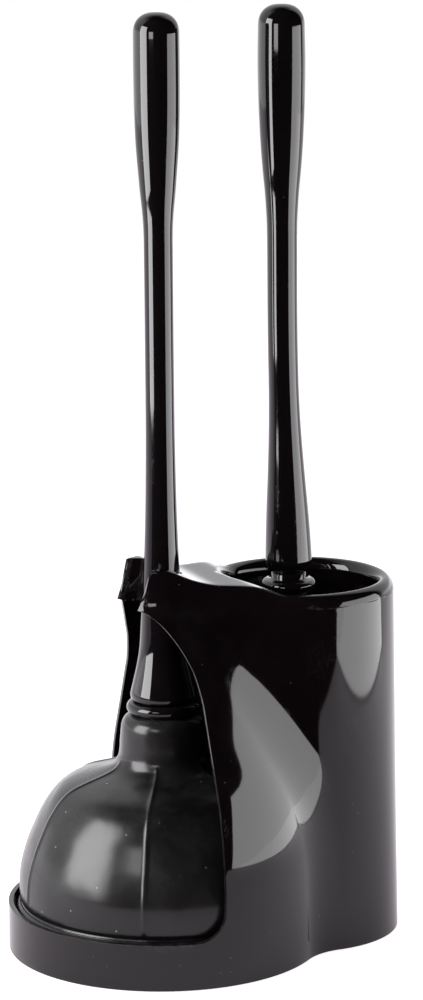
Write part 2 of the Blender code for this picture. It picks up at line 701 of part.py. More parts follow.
# ---------------------------------------------------------------- assembly
def main():
    clear_scene()
    gloss = plastic("gloss_black_plastic", (0.010, 0.008, 0.009), 0.06)
    rubber = plastic("black_rubber", (0.016, 0.016, 0.017), 0.42)
    inner = plastic("black_inner_plastic", (0.014, 0.013, 0.014), 0.25)
    nylon = plastic("black_nylon", (0.02, 0.02, 0.02), 0.5)
    steel = plastic("zinc_plated_steel", (0.55, 0.55, 0.56), 0.35)
    steel.node_tree.nodes["Principled BSDF"].inputs["Metallic"].default_value = 1.0
    make_shell(gloss)
    make_plate(inner)
    make_pads(rubber)
    make_well_cup(inner)
    make_plunger_handle(gloss)
    make_plunger_ring(gloss)
    make_stud(steel)
    make_hub(inner)
    make_cup(rubber)
    make_brush_handle(gloss)
    make_disc(inner)
    make_brush_stud(steel)
    make_core(inner)
    make_bristles(nylon)


main()
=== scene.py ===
"""Looks of the toilet plunger, the bowl brush and the caddy they stand in.

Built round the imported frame: metres, +Z up, the set symmetric about x = 0, the plunger
at the front (-Y) and the brush well at the back (+Y).
"""
import math
import random

import bmesh
import bpy
from mathutils import Matrix, Vector


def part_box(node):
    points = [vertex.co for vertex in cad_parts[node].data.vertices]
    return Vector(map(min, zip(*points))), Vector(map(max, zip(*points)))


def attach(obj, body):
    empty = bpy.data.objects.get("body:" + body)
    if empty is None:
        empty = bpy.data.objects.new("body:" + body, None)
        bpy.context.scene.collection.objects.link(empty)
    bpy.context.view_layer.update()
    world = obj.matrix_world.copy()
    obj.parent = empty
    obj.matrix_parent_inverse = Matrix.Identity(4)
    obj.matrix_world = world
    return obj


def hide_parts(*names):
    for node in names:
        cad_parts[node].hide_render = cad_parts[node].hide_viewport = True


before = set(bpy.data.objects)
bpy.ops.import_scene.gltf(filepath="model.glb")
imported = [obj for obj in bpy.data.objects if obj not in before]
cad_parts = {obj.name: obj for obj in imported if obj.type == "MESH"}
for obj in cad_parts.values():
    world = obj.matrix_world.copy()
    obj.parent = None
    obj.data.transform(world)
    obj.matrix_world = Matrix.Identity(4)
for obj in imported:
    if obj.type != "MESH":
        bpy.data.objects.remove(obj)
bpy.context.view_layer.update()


# ---------------------------------------------------------------- sizes (m)
def middle_y(node):
    low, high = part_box(node)
    return (low[1] + high[1]) / 2


SHELL_LOW, SHELL_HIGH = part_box("caddy_shell")
CUP_LOW, CUP_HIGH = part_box("plunger_cup")
WELL_LOW, WELL_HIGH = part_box("brush_well_cup")
DISC_LOW, DISC_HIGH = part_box("splash_disc")
RING_LOW, RING_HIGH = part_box("plunger_ring")
PLUNGER_LOW, PLUNGER_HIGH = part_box("plunger_handle")
BRUSH_LOW, BRUSH_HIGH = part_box("brush_handle")

PLUNGER_Y = middle_y("plunger_cup")
WELL_Y = middle_y("brush_well_cup")
BRUSH_Y = middle_y("splash_disc")
AXIS_GAP = WELL_Y - PLUNGER_Y

TRAY_RADIUS = SHELL_HIGH[0]
TRAY_HEIGHT = 0.0240
WELL_RADIUS = SHELL_HIGH[1] - WELL_Y
WELL_TOP_RADIUS = 0.0480
SHELL_WALL = 0.0024
FOOT_WAIST = 0.030            # concave waist between tray and well, at the foot
TOP_WAIST = 0.160             # and at the top
RIM_HEIGHT = 0.1849           # crest of the well's rolled rim
COLLAR_TOP = SHELL_HIGH[2]
COLLAR_BOTTOM = 0.1789
COLLAR_RADIUS = 0.0227
COLLAR_TOP_RADIUS = 0.0205
CEILING = COLLAR_BOTTOM - SHELL_WALL / 2
SLOT_RADIUS = 0.0104
SLOT_TIPS = ((0.0137, 0.0170), (0.0162, 0.0126))   # half width and reach: foot, top
OPENING_BACK = 0.0008         # the opening's edge stands this far behind the shaft's axis
SWEEP_LENGTH = 0.0160         # curve from the tray's rim up into that edge
SWEEP_HEIGHT = 0.0150
BORE = 0.0390
MOUTH_FLARE = 0.0044
MOUTH_DEPTH = 0.0064
SKIRT_WALL = 0.0020
SKIRT_BOTTOM = WELL_HIGH[2] - 0.0070
COLLAR_EDGE = 0.0012          # radius of the collar's top edge
RIM_DROP = 0.0070             # height of the roll on the well's rim
RIM_ROLL = WELL_TOP_RADIUS - BORE - MOUTH_FLARE - 0.0002
PLUNGER_GRIP = 0.0116
BRUSH_GRIP = 0.0118
PLUNGER_BORE = 0.0063         # for the plunger's stud
BRUSH_BORE = 0.0038           # for the brush's stud
DRIP_WALL = 0.0020
DRIP_CORNER = 0.0050
BRISTLE_ROOT = 0.0068
TUFTS = 15
FILAMENTS = 16                # in each tuft
TUFT_ROOT = 0.0008            # radius of a tuft where it leaves the core
TUFT_FAN = 0.0042             # half width of a tuft at its tips
FILAMENT_RADIUS = 0.00017
EDGE_BEVEL = 0.00045
EDGE_BAND = 0.0011            # narrow faces beside each bevelled edge keep its gloss tight

SIDE_STEPS = 26               # outline steps: front circle,
WAIST_STEPS = 26              # waist
BACK_STEPS = 44               # and well
FRONT_STEPS = 40              # tray wall in front of the opening's edge


# ---------------------------------------------------------------- curves
def between(low, high, share):
    return low + (high - low) * share


def through(keys, x):
    """Value at x through (x, value) keys in rising x, without overshoot."""
    if x <= keys[0][0]:
        return keys[0][1]
    if x >= keys[-1][0]:
        return keys[-1][1]
    slopes = [(b[1] - a[1]) / (b[0] - a[0]) for a, b in zip(keys, keys[1:])]
    tangents = [slopes[0]]
    for before, after in zip(slopes, slopes[1:]):
        flat = before * after <= 0
        tangents.append(0.0 if flat else 2 * before * after / (before + after))
    tangents.append(slopes[-1])
    i = max(k for k in range(len(slopes)) if keys[k][0] <= x)
    width = keys[i + 1][0] - keys[i][0]
    t = (x - keys[i][0]) / width
    start = (1 + 2 * t) * (1 - t) ** 2 * keys[i][1] + t * (1 - t) ** 2 * width * tangents[i]
    end = t * t * (3 - 2 * t) * keys[i + 1][1] + t * t * (t - 1) * width * tangents[i + 1]
    return start + end


def softened(keys, x, reach):
    """The same curve averaged over a short stretch, so that gloss runs over it without kinks."""
    samples = [through(keys, x + reach * k / 4) for k in range(-4, 5)]
    return sum(samples) / len(samples)


def arc(centre, radius, start, end, steps):
    points = []
    for k in range(steps + 1):
        angle = math.radians(between(start, end, k / steps))
        points.append((centre[0] + radius * math.cos(angle), centre[1] + radius * math.sin(angle)))
    return points


# ---------------------------------------------------------------- meshes
class Patchwork:
    """A mesh sewn from grids of points: grids that meet at the same points are joined."""

    def __init__(self):
        self.bm = bmesh.new()
        self.corners = {}

    def corner(self, point):
        key = tuple(round(value * 200000) for value in point)
        if key not in self.corners:
            self.corners[key] = self.bm.verts.new(point)
        return self.corners[key]

    def grid(self, rows):
        for lower, upper in zip(rows, rows[1:]):
            for k in range(len(lower) - 1):
                loop = [self.corner(p) for p in (lower[k], lower[k + 1], upper[k + 1], upper[k])]
                kept = [v for i, v in enumerate(loop) if v not in loop[:i]]
                if len(kept) > 2:
                    self.bm.faces.new(kept)

    def both_sides(self, rows):
        self.grid(rows)
        self.grid([[(-x, y, z) for x, y, z in row] for row in rows])


def make_piece(name, bm, finish, body, replaced=()):
    """Turn a bmesh into a named smooth piece that rides on a body."""
    bmesh.ops.recalc_face_normals(bm, faces=bm.faces)
    mesh = bpy.data.meshes.new(name)
    bm.to_mesh(mesh)
    bm.free()
    mesh.shade_smooth()
    piece = bpy.data.objects.new(name, mesh)
    bpy.context.collection.objects.link(piece)
    piece.data.materials.append(finish)
    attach(piece, body)
    if replaced:
        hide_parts(*replaced)
    return piece


def soften_edges(piece, width, angle=40.0):
    bevel = piece.modifiers.new("edges", "BEVEL")
    bevel.width = width
    bevel.segments = 3
    bevel.limit_method = "ANGLE"
    bevel.angle_limit = math.radians(angle)


def lathe(outline, y, sides=96, shape=None, angles=None):
    """A bmesh turned about the vertical axis at (0, y) from (radius, height) pairs.

    shape(radius, height, angle) may move a point; angles may give uneven steps.
    """
    bm = bmesh.new()
    steps = angles or [2 * math.pi * k / sides for k in range(sides)]
    rings = []
    for radius, height in outline:
        if radius == 0.0:
            rings.append([bm.verts.new((0.0, y, height))])
            continue
        ring = []
        for angle in steps:
            r, z = (radius, height) if shape is None else shape(radius, height, angle)
            ring.append(bm.verts.new((r * math.cos(angle), y + r * math.sin(angle), z)))
        rings.append(ring)
    pairs = list(zip(rings, rings[1:]))
    if len(rings[0]) > 1:
        pairs.append((rings[-1], rings[0]))
    count = len(steps)
    for upper, lower in pairs:
        for k in range(count):
            n = (k + 1) % count
            if len(upper) == 1:
                bm.faces.new((upper[0], lower[k], lower[n]))
            elif len(lower) == 1:
                bm.faces.new((upper[k], lower[0], upper[n]))
            else:
                bm.faces.new((upper[k], lower[k], lower[n], upper[n]))
    return bm


# ---------------------------------------------------------------- caddy outline
def cowl_radius(z):
    """Outside radius about the plunger's axis: tray wall, bell of the cowl, collar."""
    bell = [
        (0.0, TRAY_RADIUS),
        (0.050, TRAY_RADIUS - 0.0005),
        (0.085, 0.0738),
        (0.110, 0.0637),
        (0.140, 0.0512),
        (0.158, 0.0430),
        (0.170, 0.0335),
        (0.177, 0.0258),
        (COLLAR_BOTTOM + 0.0006, COLLAR_RADIUS),
        (COLLAR_TOP, COLLAR_TOP_RADIUS),
    ]
    reach = through([(0.0, 0.009), (0.130, 0.009), (0.176, 0.0012), (0.190, 0.0012)], z)
    return min(softened(bell, z, reach), TRAY_RADIUS)


def well_radius(z):
    return between(WELL_RADIUS, WELL_TOP_RADIUS, min(z / RIM_HEIGHT, 1.0))


def waist_radius(z):
    share = min(z / RIM_HEIGHT, 1.0)
    return 1 / between(1 / FOOT_WAIST, 1 / TOP_WAIST, share)


def side_outline(z, start, inset=0.0):
    """Right half of the outline at height z, from an angle on the front circle to the back."""
    front = cowl_radius(z) - inset
    back = well_radius(z) - inset
    waist = waist_radius(z) + inset
    along = ((front + waist) ** 2 - (back + waist) ** 2 + AXIS_GAP ** 2) / (2 * AXIS_GAP)
    aside = math.sqrt((front + waist) ** 2 - along ** 2)
    front_end = math.degrees(math.atan2(along, aside))
    back_start = math.degrees(math.atan2(along - AXIS_GAP, aside))
    near = start + math.degrees(EDGE_BAND / front)
    points = arc((0.0, PLUNGER_Y), front, start, near, 1)[:1]
    points += arc((0.0, PLUNGER_Y), front, near, front_end, SIDE_STEPS - 1)
    points += arc((aside, PLUNGER_Y + along), waist, 180 + front_end, 180 + back_start, WAIST_STEPS)[1:-1]
    points += arc((0.0, WELL_Y), back, back_start, 90.0, BACK_STEPS)
    points[-1] = (0.0, points[-1][1])
    return points


def opening_depth(z):
    """How far behind (+) or in front (-) of the shaft's axis the opening's edge is."""
    if z < TRAY_HEIGHT + SWEEP_HEIGHT:
        rise = 1 - (z - TRAY_HEIGHT) / SWEEP_HEIGHT
        return OPENING_BACK - SWEEP_LENGTH * (1 - math.sqrt(max(1 - rise ** 2, 0.0)))
    keys = [
        (0.138, OPENING_BACK),
        (0.150, -0.0010),
        (0.160, -0.0043),
        (0.168, -0.0080),
        (0.175, -0.0125),
        (COLLAR_BOTTOM, -SLOT_TIPS[0][1]),
    ]
    return softened(keys, z, 0.001) if z < 0.177 else through(keys, z)


def slot_half_width(depth, z):
    """Half width of the collar's V slot, a distance depth behind the shaft's axis."""
    if depth >= 0.0:
        return math.sqrt(max(SLOT_RADIUS ** 2 - depth ** 2, 0.0))
    share = (z - COLLAR_BOTTOM) / (COLLAR_TOP - COLLAR_BOTTOM)
    tip = between(SLOT_TIPS[0][0], SLOT_TIPS[1][0], share)
    reach = between(SLOT_TIPS[0][1], SLOT_TIPS[1][1], share)
    return SLOT_RADIUS + (tip - SLOT_RADIUS) * (-depth / reach)


def collar_start(z):
    """Angle on the collar where the slot's side comes out of it."""
    radius = cowl_radius(z)
    low, high = -85.0, -10.0
    for _ in range(40):
        angle = math.radians((low + high) / 2)
        outside = radius * math.cos(angle) > slot_half_width(radius * math.sin(angle), z)
        low, high = (low, (low + high) / 2) if outside else ((low + high) / 2, high)
    return (low + high) / 2


def edge_start(z, inset=0.0):
    """Angle on the front circle where the opening's edge stands at height z."""
    if z >= COLLAR_BOTTOM:
        return collar_start(z)
    return math.degrees(math.asin(opening_depth(z) / (cowl_radius(z) - inset)))


def deck_height(y):
    """Height of the top surface, from the collar down to the well's rim."""
    step = COLLAR_TOP - RIM_HEIGHT
    keys = [
        (PLUNGER_Y - 0.004, COLLAR_TOP),
        (PLUNGER_Y + 0.011, RIM_HEIGHT + 0.55 * step),
        (PLUNGER_Y + 0.020, RIM_HEIGHT + 0.41 * step),
        (PLUNGER_Y + 0.035, RIM_HEIGHT + 0.35 * step),
        (PLUNGER_Y + 0.051, RIM_HEIGHT),
    ]
    return softened(keys, y, 0.002)


# ---------------------------------------------------------------- caddy shell
def shell_levels():
    """Heights of the outline rows: tray wall, sweep of the edge, cowl, foot of the collar."""
    tray = [SHELL_LOW[2], SHELL_LOW[2] + EDGE_BAND, 0.006, 0.012, 0.018, TRAY_HEIGHT - EDGE_BAND, TRAY_HEIGHT]
    sweep = [TRAY_HEIGHT + SWEEP_HEIGHT * (1 - math.cos(math.radians(a))) for a in range(12, 91, 13)]
    sweep.append(TRAY_HEIGHT + SWEEP_HEIGHT)
    cowl = [sweep[-1] + 0.0035 * k for k in range(1, 32)]
    top = [0.1500 + 0.0018 * k for k in range(1, 15)]
    return tray, sweep, cowl, top + [CEILING, 0.1783, COLLAR_BOTTOM]


def wall_rows(levels, inset=0.0):
    rows = []
    for z in levels:
        start = edge_start(max(z, TRAY_HEIGHT), inset)
        rows.append([(x, y, z) for x, y in side_outline(z, start, inset)])
    return rows


def tray_rows(levels, inset=0.0):
    """Tray wall in front of the opening's edge, from the middle of the front to that edge."""
    end = edge_start(TRAY_HEIGHT, inset)
    rows = []
    for z in levels:
        points = arc((0.0, PLUNGER_Y), cowl_radius(z) - inset, -90.0, end, FRONT_STEPS)
        rows.append([(0.0, points[0][1], z)] + [(x, y, z) for x, y in points[1:]])
    return rows


def top_edge_rows(steps=8):
    """Rounded top edge: a small radius on the collar, a full roll on the well's rim."""
    rows = [[] for _ in range(steps + 4)]
    rough = side_outline(RIM_HEIGHT, collar_start(RIM_HEIGHT))
    for k, (_, rough_y) in enumerate(rough):
        crest = deck_height(rough_y)
        inward = through([(PLUNGER_Y, COLLAR_EDGE), (WELL_Y, RIM_ROLL)], rough_y)
        drop = through([(PLUNGER_Y, COLLAR_EDGE), (WELL_Y, RIM_DROP)], rough_y)
        for row in range(3):
            rows[row].append(outline_point(between(COLLAR_BOTTOM, crest - drop, (row + 1) / 4), k))
        for row in range(steps + 1):
            angle = math.radians(90 * row / steps)
            z = crest - drop * (1 - math.sin(angle))
            x, y, _ = outline_point(crest - drop, k)
            nx, ny = outline_normal(crest - drop, k)
            move = inward * (1 - math.cos(angle))
            x, y = max(x - nx * move, 0.0), y - ny * move
            lift = deck_height(y) - deck_height(rough_y)
            rows[row + 3].append((x, y, z + lift * math.sin(angle)))
    return rows


_outlines = {}


def outline_point(z, k):
    key = round(z * 100000)
    if key not in _outlines:
        _outlines[key] = side_outline(z, collar_start(z))
    x, y = _outlines[key][k]
    return (x, y, z)


def outline_normal(z, k):
    """Outward direction of the outline at its k-th point."""
    last = SIDE_STEPS + WAIST_STEPS + BACK_STEPS - 1
    before = outline_point(z, max(k - 1, 0))
    after = outline_point(z, min(k + 1, last))
    if k >= last:
        return 0.0, 1.0
    run_x = after[0] - before[0]
    run_y = after[1] - before[1]
    size = math.hypot(run_x, run_y)
    return run_y / size, -run_x / size


def inner_line(outer, hole, z_slot):
    """A point for each outer point, along the slot, the middle line and the well's hole."""
    slot_end = next(k for k, p in enumerate(outer) if p[1] > PLUNGER_Y + SLOT_RADIUS)
    hole_front = WELL_Y - hole
    hole_start = next(k for k, p in enumerate(outer) if p[1] > hole_front)
    joined = len(outer) - 1 - round(BACK_STEPS * 0.62)
    side = slot_end // 2
    first = outer[0][1] - PLUNGER_Y
    line = []
    for k, point in enumerate(outer):
        if k <= side:
            depth = first * (1 - k / side)
            line.append((slot_half_width(depth, z_slot), PLUNGER_Y + depth))
        elif k <= slot_end:
            turn = math.radians(90 * (k - side) / (slot_end - side))
            x = SLOT_RADIUS * math.cos(turn) if k < slot_end else 0.0
            line.append((x, PLUNGER_Y + SLOT_RADIUS * math.sin(turn)))
        elif k <= hole_start:
            share = (k - slot_end) / (hole_start - slot_end)
            line.append((0.0, between(PLUNGER_Y + SLOT_RADIUS, hole_front, share)))
        else:
            angle = math.atan2(point[1] - WELL_Y, point[0])
            if k < joined:
                target = math.atan2(outer[joined][1] - WELL_Y, outer[joined][0])
                angle = between(-math.pi / 2, target, (k - hole_start) / (joined - hole_start))
            x = hole * math.cos(angle) if k < len(outer) - 1 else 0.0
            line.append((x, WELL_Y + hole * math.sin(angle)))
    line[0] = (outer[0][0], outer[0][1])
    return line, slot_end, hole_start


def deck_rows(crest, inner, steps=8):
    rows = []
    for j in range(steps + 1):
        row = []
        for (x0, y0, z0), (x1, y1) in zip(crest, inner):
            x, y = between(x0, x1, j / steps), between(y0, y1, j / steps)
            row.append((x, y, z0 if j == 0 else deck_height(y)))
        rows.append(row)
    return rows


def mouth_rows(rim_line, steps=8):
    """The rim rolls over into the well's bore and runs down inside the skirt."""
    rows = [rim_line]
    for j in range(1, steps + 1):
        turn = math.radians(90 * j / steps)
        radius = BORE + MOUTH_FLARE * (1 - math.sin(turn))
        row = []
        for x, y, z in rim_line:
            angle = math.atan2(y - WELL_Y, x)
            px = 0.0 if x == 0.0 else radius * math.cos(angle)
            row.append((px, WELL_Y + radius * math.sin(angle), z - MOUTH_DEPTH * (1 - math.cos(turn))))
        rows.append(row)
    for z in (0.172, SKIRT_BOTTOM):
        rows.append([(x, y, z) for x, y, _ in rows[-1]])
    skirt = BORE + SKIRT_WALL
    for z in (SKIRT_BOTTOM, CEILING):
        row = []
        for x, y, _ in rim_line:
            angle = math.atan2(y - WELL_Y, x)
            row.append((0.0 if x == 0.0 else skirt * math.cos(angle), WELL_Y + skirt * math.sin(angle), z))
        rows.append(row)
    return rows


def zip_lines(work, first, second):
    """Triangles between two lines of points with different counts, on both sides."""
    for side in (1, -1):
        a = [work.corner((side * x, y, z)) for x, y, z in first]
        b = [work.corner((side * x, y, z)) for x, y, z in second]
        i = j = 0
        while i < len(a) - 1 or j < len(b) - 1:
            step_a = j == len(b) - 1 or (i < len(a) - 1 and (i + 1) * len(b) <= (j + 1) * len(a))
            loop = [a[i], b[j], a[i + 1] if step_a else b[j + 1]]
            i, j = (i + 1, j) if step_a else (i, j + 1)
            if len(set(loop)) == 3:
                work.bm.faces.new(loop)


def shell_piece(finish):
    work = Patchwork()
    tray, sweep, cowl, top = shell_levels()
    outside = wall_rows(tray + sweep + cowl + top)
    inside = wall_rows(tray + sweep + cowl + [z for z in top if z <= CEILING], SHELL_WALL)
    work.both_sides(outside)
    work.both_sides(inside)
    front_out, front_in = tray_rows(tray), tray_rows(tray, SHELL_WALL)
    work.both_sides(front_out)
    work.both_sides(front_in)
    work.both_sides([front_out[0], front_in[0]])
    work.both_sides([outside[0], inside[0]])
    work.both_sides([front_out[-1], front_in[-1]])
    edges = top_edge_rows()
    work.both_sides([outside[-1]] + edges)
    crest = edges[-1]
    hole = BORE + MOUTH_FLARE
    rim, slot_end, hole_start = inner_line(crest, hole, COLLAR_TOP)
    deck = deck_rows(crest, rim)
    work.both_sides(deck)
    mouth = mouth_rows(deck[-1][hole_start:])
    work.both_sides(mouth)
    ceiling_out = inside[-1]
    below, low_slot_end, low_hole_start = inner_line(ceiling_out, BORE + SKIRT_WALL, COLLAR_BOTTOM)
    depth = ceiling_out[0][1] - PLUNGER_Y
    below[0] = (slot_half_width(depth, CEILING), ceiling_out[0][1])
    low = [(x, y, CEILING) for x, y in below]
    ceiling = []
    for j in range(4):
        ceiling.append([tuple(between(a, b, j / 3) for a, b in zip(p, q)) for p, q in zip(ceiling_out, low)])
    work.both_sides(ceiling)
    zip_lines(work, mouth[-1], low[low_hole_start:])
    first = len(tray) - 1
    strip = []
    for out_row, in_row in zip(outside[first:], inside[first:]):
        strip.append([out_row[0], in_row[0]])
    work.both_sides(strip)
    lug = [[outside[len(inside) - 1][0]] + [row[0] for row in ceiling]]
    for row in outside[len(inside):]:
        x, y, z = row[0]
        side = min(slot_half_width(y - PLUNGER_Y, z), x)
        lug.append([(between(x, side, j / 4), y, z) for j in range(5)])
    work.both_sides(lug)
    bottom = [row[-1] for row in lug[::-1]] + low[1:low_slot_end + 1]
    side_line = deck[-1][1:slot_end + 1]
    zip_lines(work, side_line[:1], bottom[:1] + [row[0] for row in edges])
    zip_lines(work, bottom, side_line)
    piece = make_piece("moulded_caddy_shell", work.bm, finish, "caddy", ("caddy_shell",))
    soften_edges(piece, EDGE_BEVEL)
    return piece


# ---------------------------------------------------------------- node groups
def new_group(name, inputs, outputs):
    group = bpy.data.node_groups.new(name, "ShaderNodeTree")
    for label, kind, value in inputs:
        socket = group.interface.new_socket(label, in_out="INPUT", socket_type=kind)
        if value is not None:
            socket.default_value = value
    for label, kind in outputs:
        group.interface.new_socket(label, in_out="OUTPUT", socket_type=kind)
    return group, group.nodes.new("NodeGroupInput"), group.nodes.new("NodeGroupOutput")


def add_node(tree, kind, links=None, **settings):
    """Add a node; settings set its properties, links feeds its inputs by name or number."""
    node = tree.nodes.new(kind)
    for name, value in settings.items():
        setattr(node, name, value)
    for socket, source in (links or {}).items():
        target = node.inputs[socket]
        if isinstance(source, bpy.types.NodeSocket):
            tree.links.new(source, target)
        else:
            target.default_value = source
    return node


def math_node(tree, operation, first, second=0.0, clamp=False):
    made = add_node(tree, "ShaderNodeMath", {0: first, 1: second}, operation=operation, use_clamp=clamp)
    return made.outputs[0]


def noise(tree, scale, vector, detail=2.0, roughness=0.5):
    links = {"Vector": vector, "Scale": scale, "Detail": detail, "Roughness": roughness}
    return add_node(tree, "ShaderNodeTexNoise", links).outputs["Fac"]


def ramp(tree, value, low, high):
    made = add_node(tree, "ShaderNodeMapRange", {"Value": value, "From Min": low, "From Max": high})
    return made.outputs["Result"]


def moulding_waves():
    """Slow swell left in a moulded wall by uneven cooling, as a height from 0 to 1."""
    group, given, out = new_group(
        "moulding waves",
        [("Length", "NodeSocketFloat", 0.03), ("Stretch", "NodeSocketFloat", 0.5)],
        [("Height", "NodeSocketFloat")],
    )
    place = add_node(group, "ShaderNodeTexCoord").outputs["Object"]
    stretch = add_node(group, "ShaderNodeCombineXYZ", {"X": 1.0, "Y": 1.0, "Z": given.outputs["Stretch"]})
    drawn = add_node(group, "ShaderNodeVectorMath", {0: place, 1: stretch.outputs[0]}, operation="MULTIPLY")
    scale = math_node(group, "DIVIDE", 1.0, given.outputs["Length"])
    swell = noise(group, scale, drawn.outputs[0], 1.0, 0.35)
    group.links.new(swell, out.inputs["Height"])
    return group


def fine_dust():
    """Mask of scattered dust specks and a faint film of dust that lies on upward faces."""
    group, given, out = new_group(
        "fine dust",
        [
            ("Spacing", "NodeSocketFloat", 0.004),
            ("Speck", "NodeSocketFloat", 0.07),
            ("Film", "NodeSocketFloat", 0.1),
        ],
        [("Specks", "NodeSocketFloat"), ("Film", "NodeSocketFloat")],
    )
    place = add_node(group, "ShaderNodeTexCoord").outputs["Object"]
    scale = math_node(group, "DIVIDE", 1.0, given.outputs["Spacing"])
    cells = add_node(group, "ShaderNodeTexVoronoi", {"Vector": place, "Scale": scale, "Randomness": 1.0})
    near = math_node(group, "LESS_THAN", cells.outputs["Distance"], given.outputs["Speck"])
    tone = add_node(group, "ShaderNodeSeparateColor", {"Color": cells.outputs["Color"]})
    some = math_node(group, "GREATER_THAN", tone.outputs["Red"], 0.72)
    group.links.new(math_node(group, "MULTIPLY", near, some), out.inputs["Specks"])
    facing = add_node(group, "ShaderNodeNewGeometry").outputs["Normal"]
    upward = add_node(group, "ShaderNodeSeparateXYZ", {"Vector": facing}).outputs["Z"]
    patches = ramp(group, noise(group, 55.0, place, 4.0, 0.65), 0.42, 0.75)
    lying = math_node(group, "MULTIPLY", ramp(group, upward, -0.1, 0.9), patches, clamp=True)
    group.links.new(math_node(group, "MULTIPLY", lying, given.outputs["Film"]), out.inputs["Film"])
    return group


def handling_marks():
    """Mask of short fine scuffs from handling, running mostly one way."""
    group, given, out = new_group(
        "handling marks",
        [
            ("Length", "NodeSocketFloat", 0.02),
            ("Amount", "NodeSocketFloat", 0.5),
            ("Turn", "NodeSocketFloat", 0.4),
        ],
        [("Mask", "NodeSocketFloat")],
    )
    place = add_node(group, "ShaderNodeTexCoord").outputs["Object"]
    turn = add_node(group, "ShaderNodeCombineXYZ", {"X": given.outputs["Turn"], "Y": given.outputs["Turn"]})
    links = {"Vector": place, "Rotation": turn.outputs[0]}
    turned = add_node(group, "ShaderNodeVectorRotate", links, rotation_type="EULER_XYZ")
    links = {0: turned.outputs[0], 1: (1.0, 1.0, 0.06)}
    thin = add_node(group, "ShaderNodeVectorMath", links, operation="MULTIPLY")
    scale = math_node(group, "DIVIDE", 16.0, given.outputs["Length"])
    lines = noise(group, scale, thin.outputs[0], 2.0, 0.4)
    band = math_node(group, "ABSOLUTE", math_node(group, "SUBTRACT", lines, 0.5))
    strokes = ramp(group, band, 0.012, 0.0)
    where = ramp(group, noise(group, 42.0, place, 2.0, 0.5), 0.52, 0.68)
    masked = math_node(group, "MULTIPLY", strokes, where, clamp=True)
    group.links.new(math_node(group, "MULTIPLY", masked, given.outputs["Amount"]), out.inputs["Mask"])
    return group


def edge_rub_and_highlight():
    """Mask of greyed sharp edges, broken into patches: rubbed wear together with a painted highlight along
    the edges.
    """
    inputs = [("Amount", "NodeSocketFloat", 0.5)]
    group, given, out = new_group("edge rub and painted highlight", inputs, [("Mask", "NodeSocketFloat")])
    sharp = add_node(group, "ShaderNodeNewGeometry").outputs["Pointiness"]
    place = add_node(group, "ShaderNodeTexCoord").outputs["Object"]
    broken = ramp(group, noise(group, 320.0, place, 3.0, 0.6), 0.35, 0.7)
    # painted highlight and wear: sharp edges, found by pointiness, are lightened in broken patches
    edge = math_node(group, "MULTIPLY", ramp(group, sharp, 0.54, 0.62), broken, clamp=True)
    group.links.new(math_node(group, "MULTIPLY", edge, given.outputs["Amount"]), out.inputs["Mask"])
    return group


WAVES = moulding_waves()
DUST = fine_dust()
MARKS = handling_marks()
RUB_AND_HIGHLIGHT = edge_rub_and_highlight()


def use_group(tree, group, **values):
    node = tree.nodes.new("ShaderNodeGroup")
    node.node_tree = group
    for name, value in values.items():
        node.inputs[name].default_value = value
    return node.outputs


def mix_colour(tree, share, first, second):
    made = add_node(tree, "ShaderNodeMix", {"Factor": share}, data_type="RGBA")
    for socket, value in ((made.inputs[6], first), (made.inputs[7], second)):
        if isinstance(value, bpy.types.NodeSocket):
            tree.links.new(value, socket)
        else:
            socket.default_value = (*value, 1.0)
    return made.outputs[2]


def new_finish(name):
    made = bpy.data.materials.new(name)
    made.use_nodes = True
    return made, made.node_tree, made.node_tree.nodes["Principled BSDF"]


# ---------------------------------------------------------------- finishes
def moulded_plastic(name, colour, gloss, wave_length, wave_depth, dust=0.03, marks=0.5, index=1.5):
    """Black moulded plastic: mirror gloss, slow waves, faint dust, scuffs, and rubbed edges that also carry a
    painted edge highlight.
    """
    made, tree, shader = new_finish(name)
    shader.inputs["IOR"].default_value = index
    place = add_node(tree, "ShaderNodeTexCoord").outputs["Object"]
    specks = use_group(tree, DUST, Spacing=0.0045, Speck=0.045, Film=dust)
    scuffs = use_group(tree, MARKS, Amount=marks)["Mask"]
    rubbed_and_highlit = use_group(tree, RUB_AND_HIGHLIGHT, Amount=0.35)["Mask"]
    cloudy = noise(tree, 38.0, place, 3.0, 0.6)
    base = mix_colour(tree, cloudy, [c * 0.85 for c in colour], [c * 1.15 for c in colour])
    dusty = math_node(tree, "ADD", specks["Specks"], specks["Film"], clamp=True)
    # the grey on sharp edges is rubbed wear and a painted edge highlight
    worn_and_highlit = mix_colour(tree, rubbed_and_highlit, base, (0.06, 0.058, 0.06))
    tree.links.new(mix_colour(tree, dusty, worn_and_highlit, (0.16, 0.155, 0.15)), shader.inputs["Base Color"])
    links = {"Value": cloudy, "To Min": gloss * 0.8, "To Max": gloss * 1.25}
    rough = add_node(tree, "ShaderNodeMapRange", links)
    rough = math_node(tree, "ADD", rough.outputs[0], math_node(tree, "MULTIPLY", scuffs, 0.10))
    rough = math_node(tree, "ADD", rough, math_node(tree, "MULTIPLY", dusty, 0.35), clamp=True)
    tree.links.new(rough, shader.inputs["Roughness"])
    swell = use_group(tree, WAVES, Length=wave_length, Stretch=0.55)["Height"]
    first = add_node(tree, "ShaderNodeBump", {"Height": swell, "Distance": wave_depth, "Strength": 1.0})
    links = {"Height": scuffs, "Distance": -0.00001, "Normal": first.outputs[0]}
    second = add_node(tree, "ShaderNodeBump", links)
    tree.links.new(second.outputs[0], shader.inputs["Normal"])
    return made


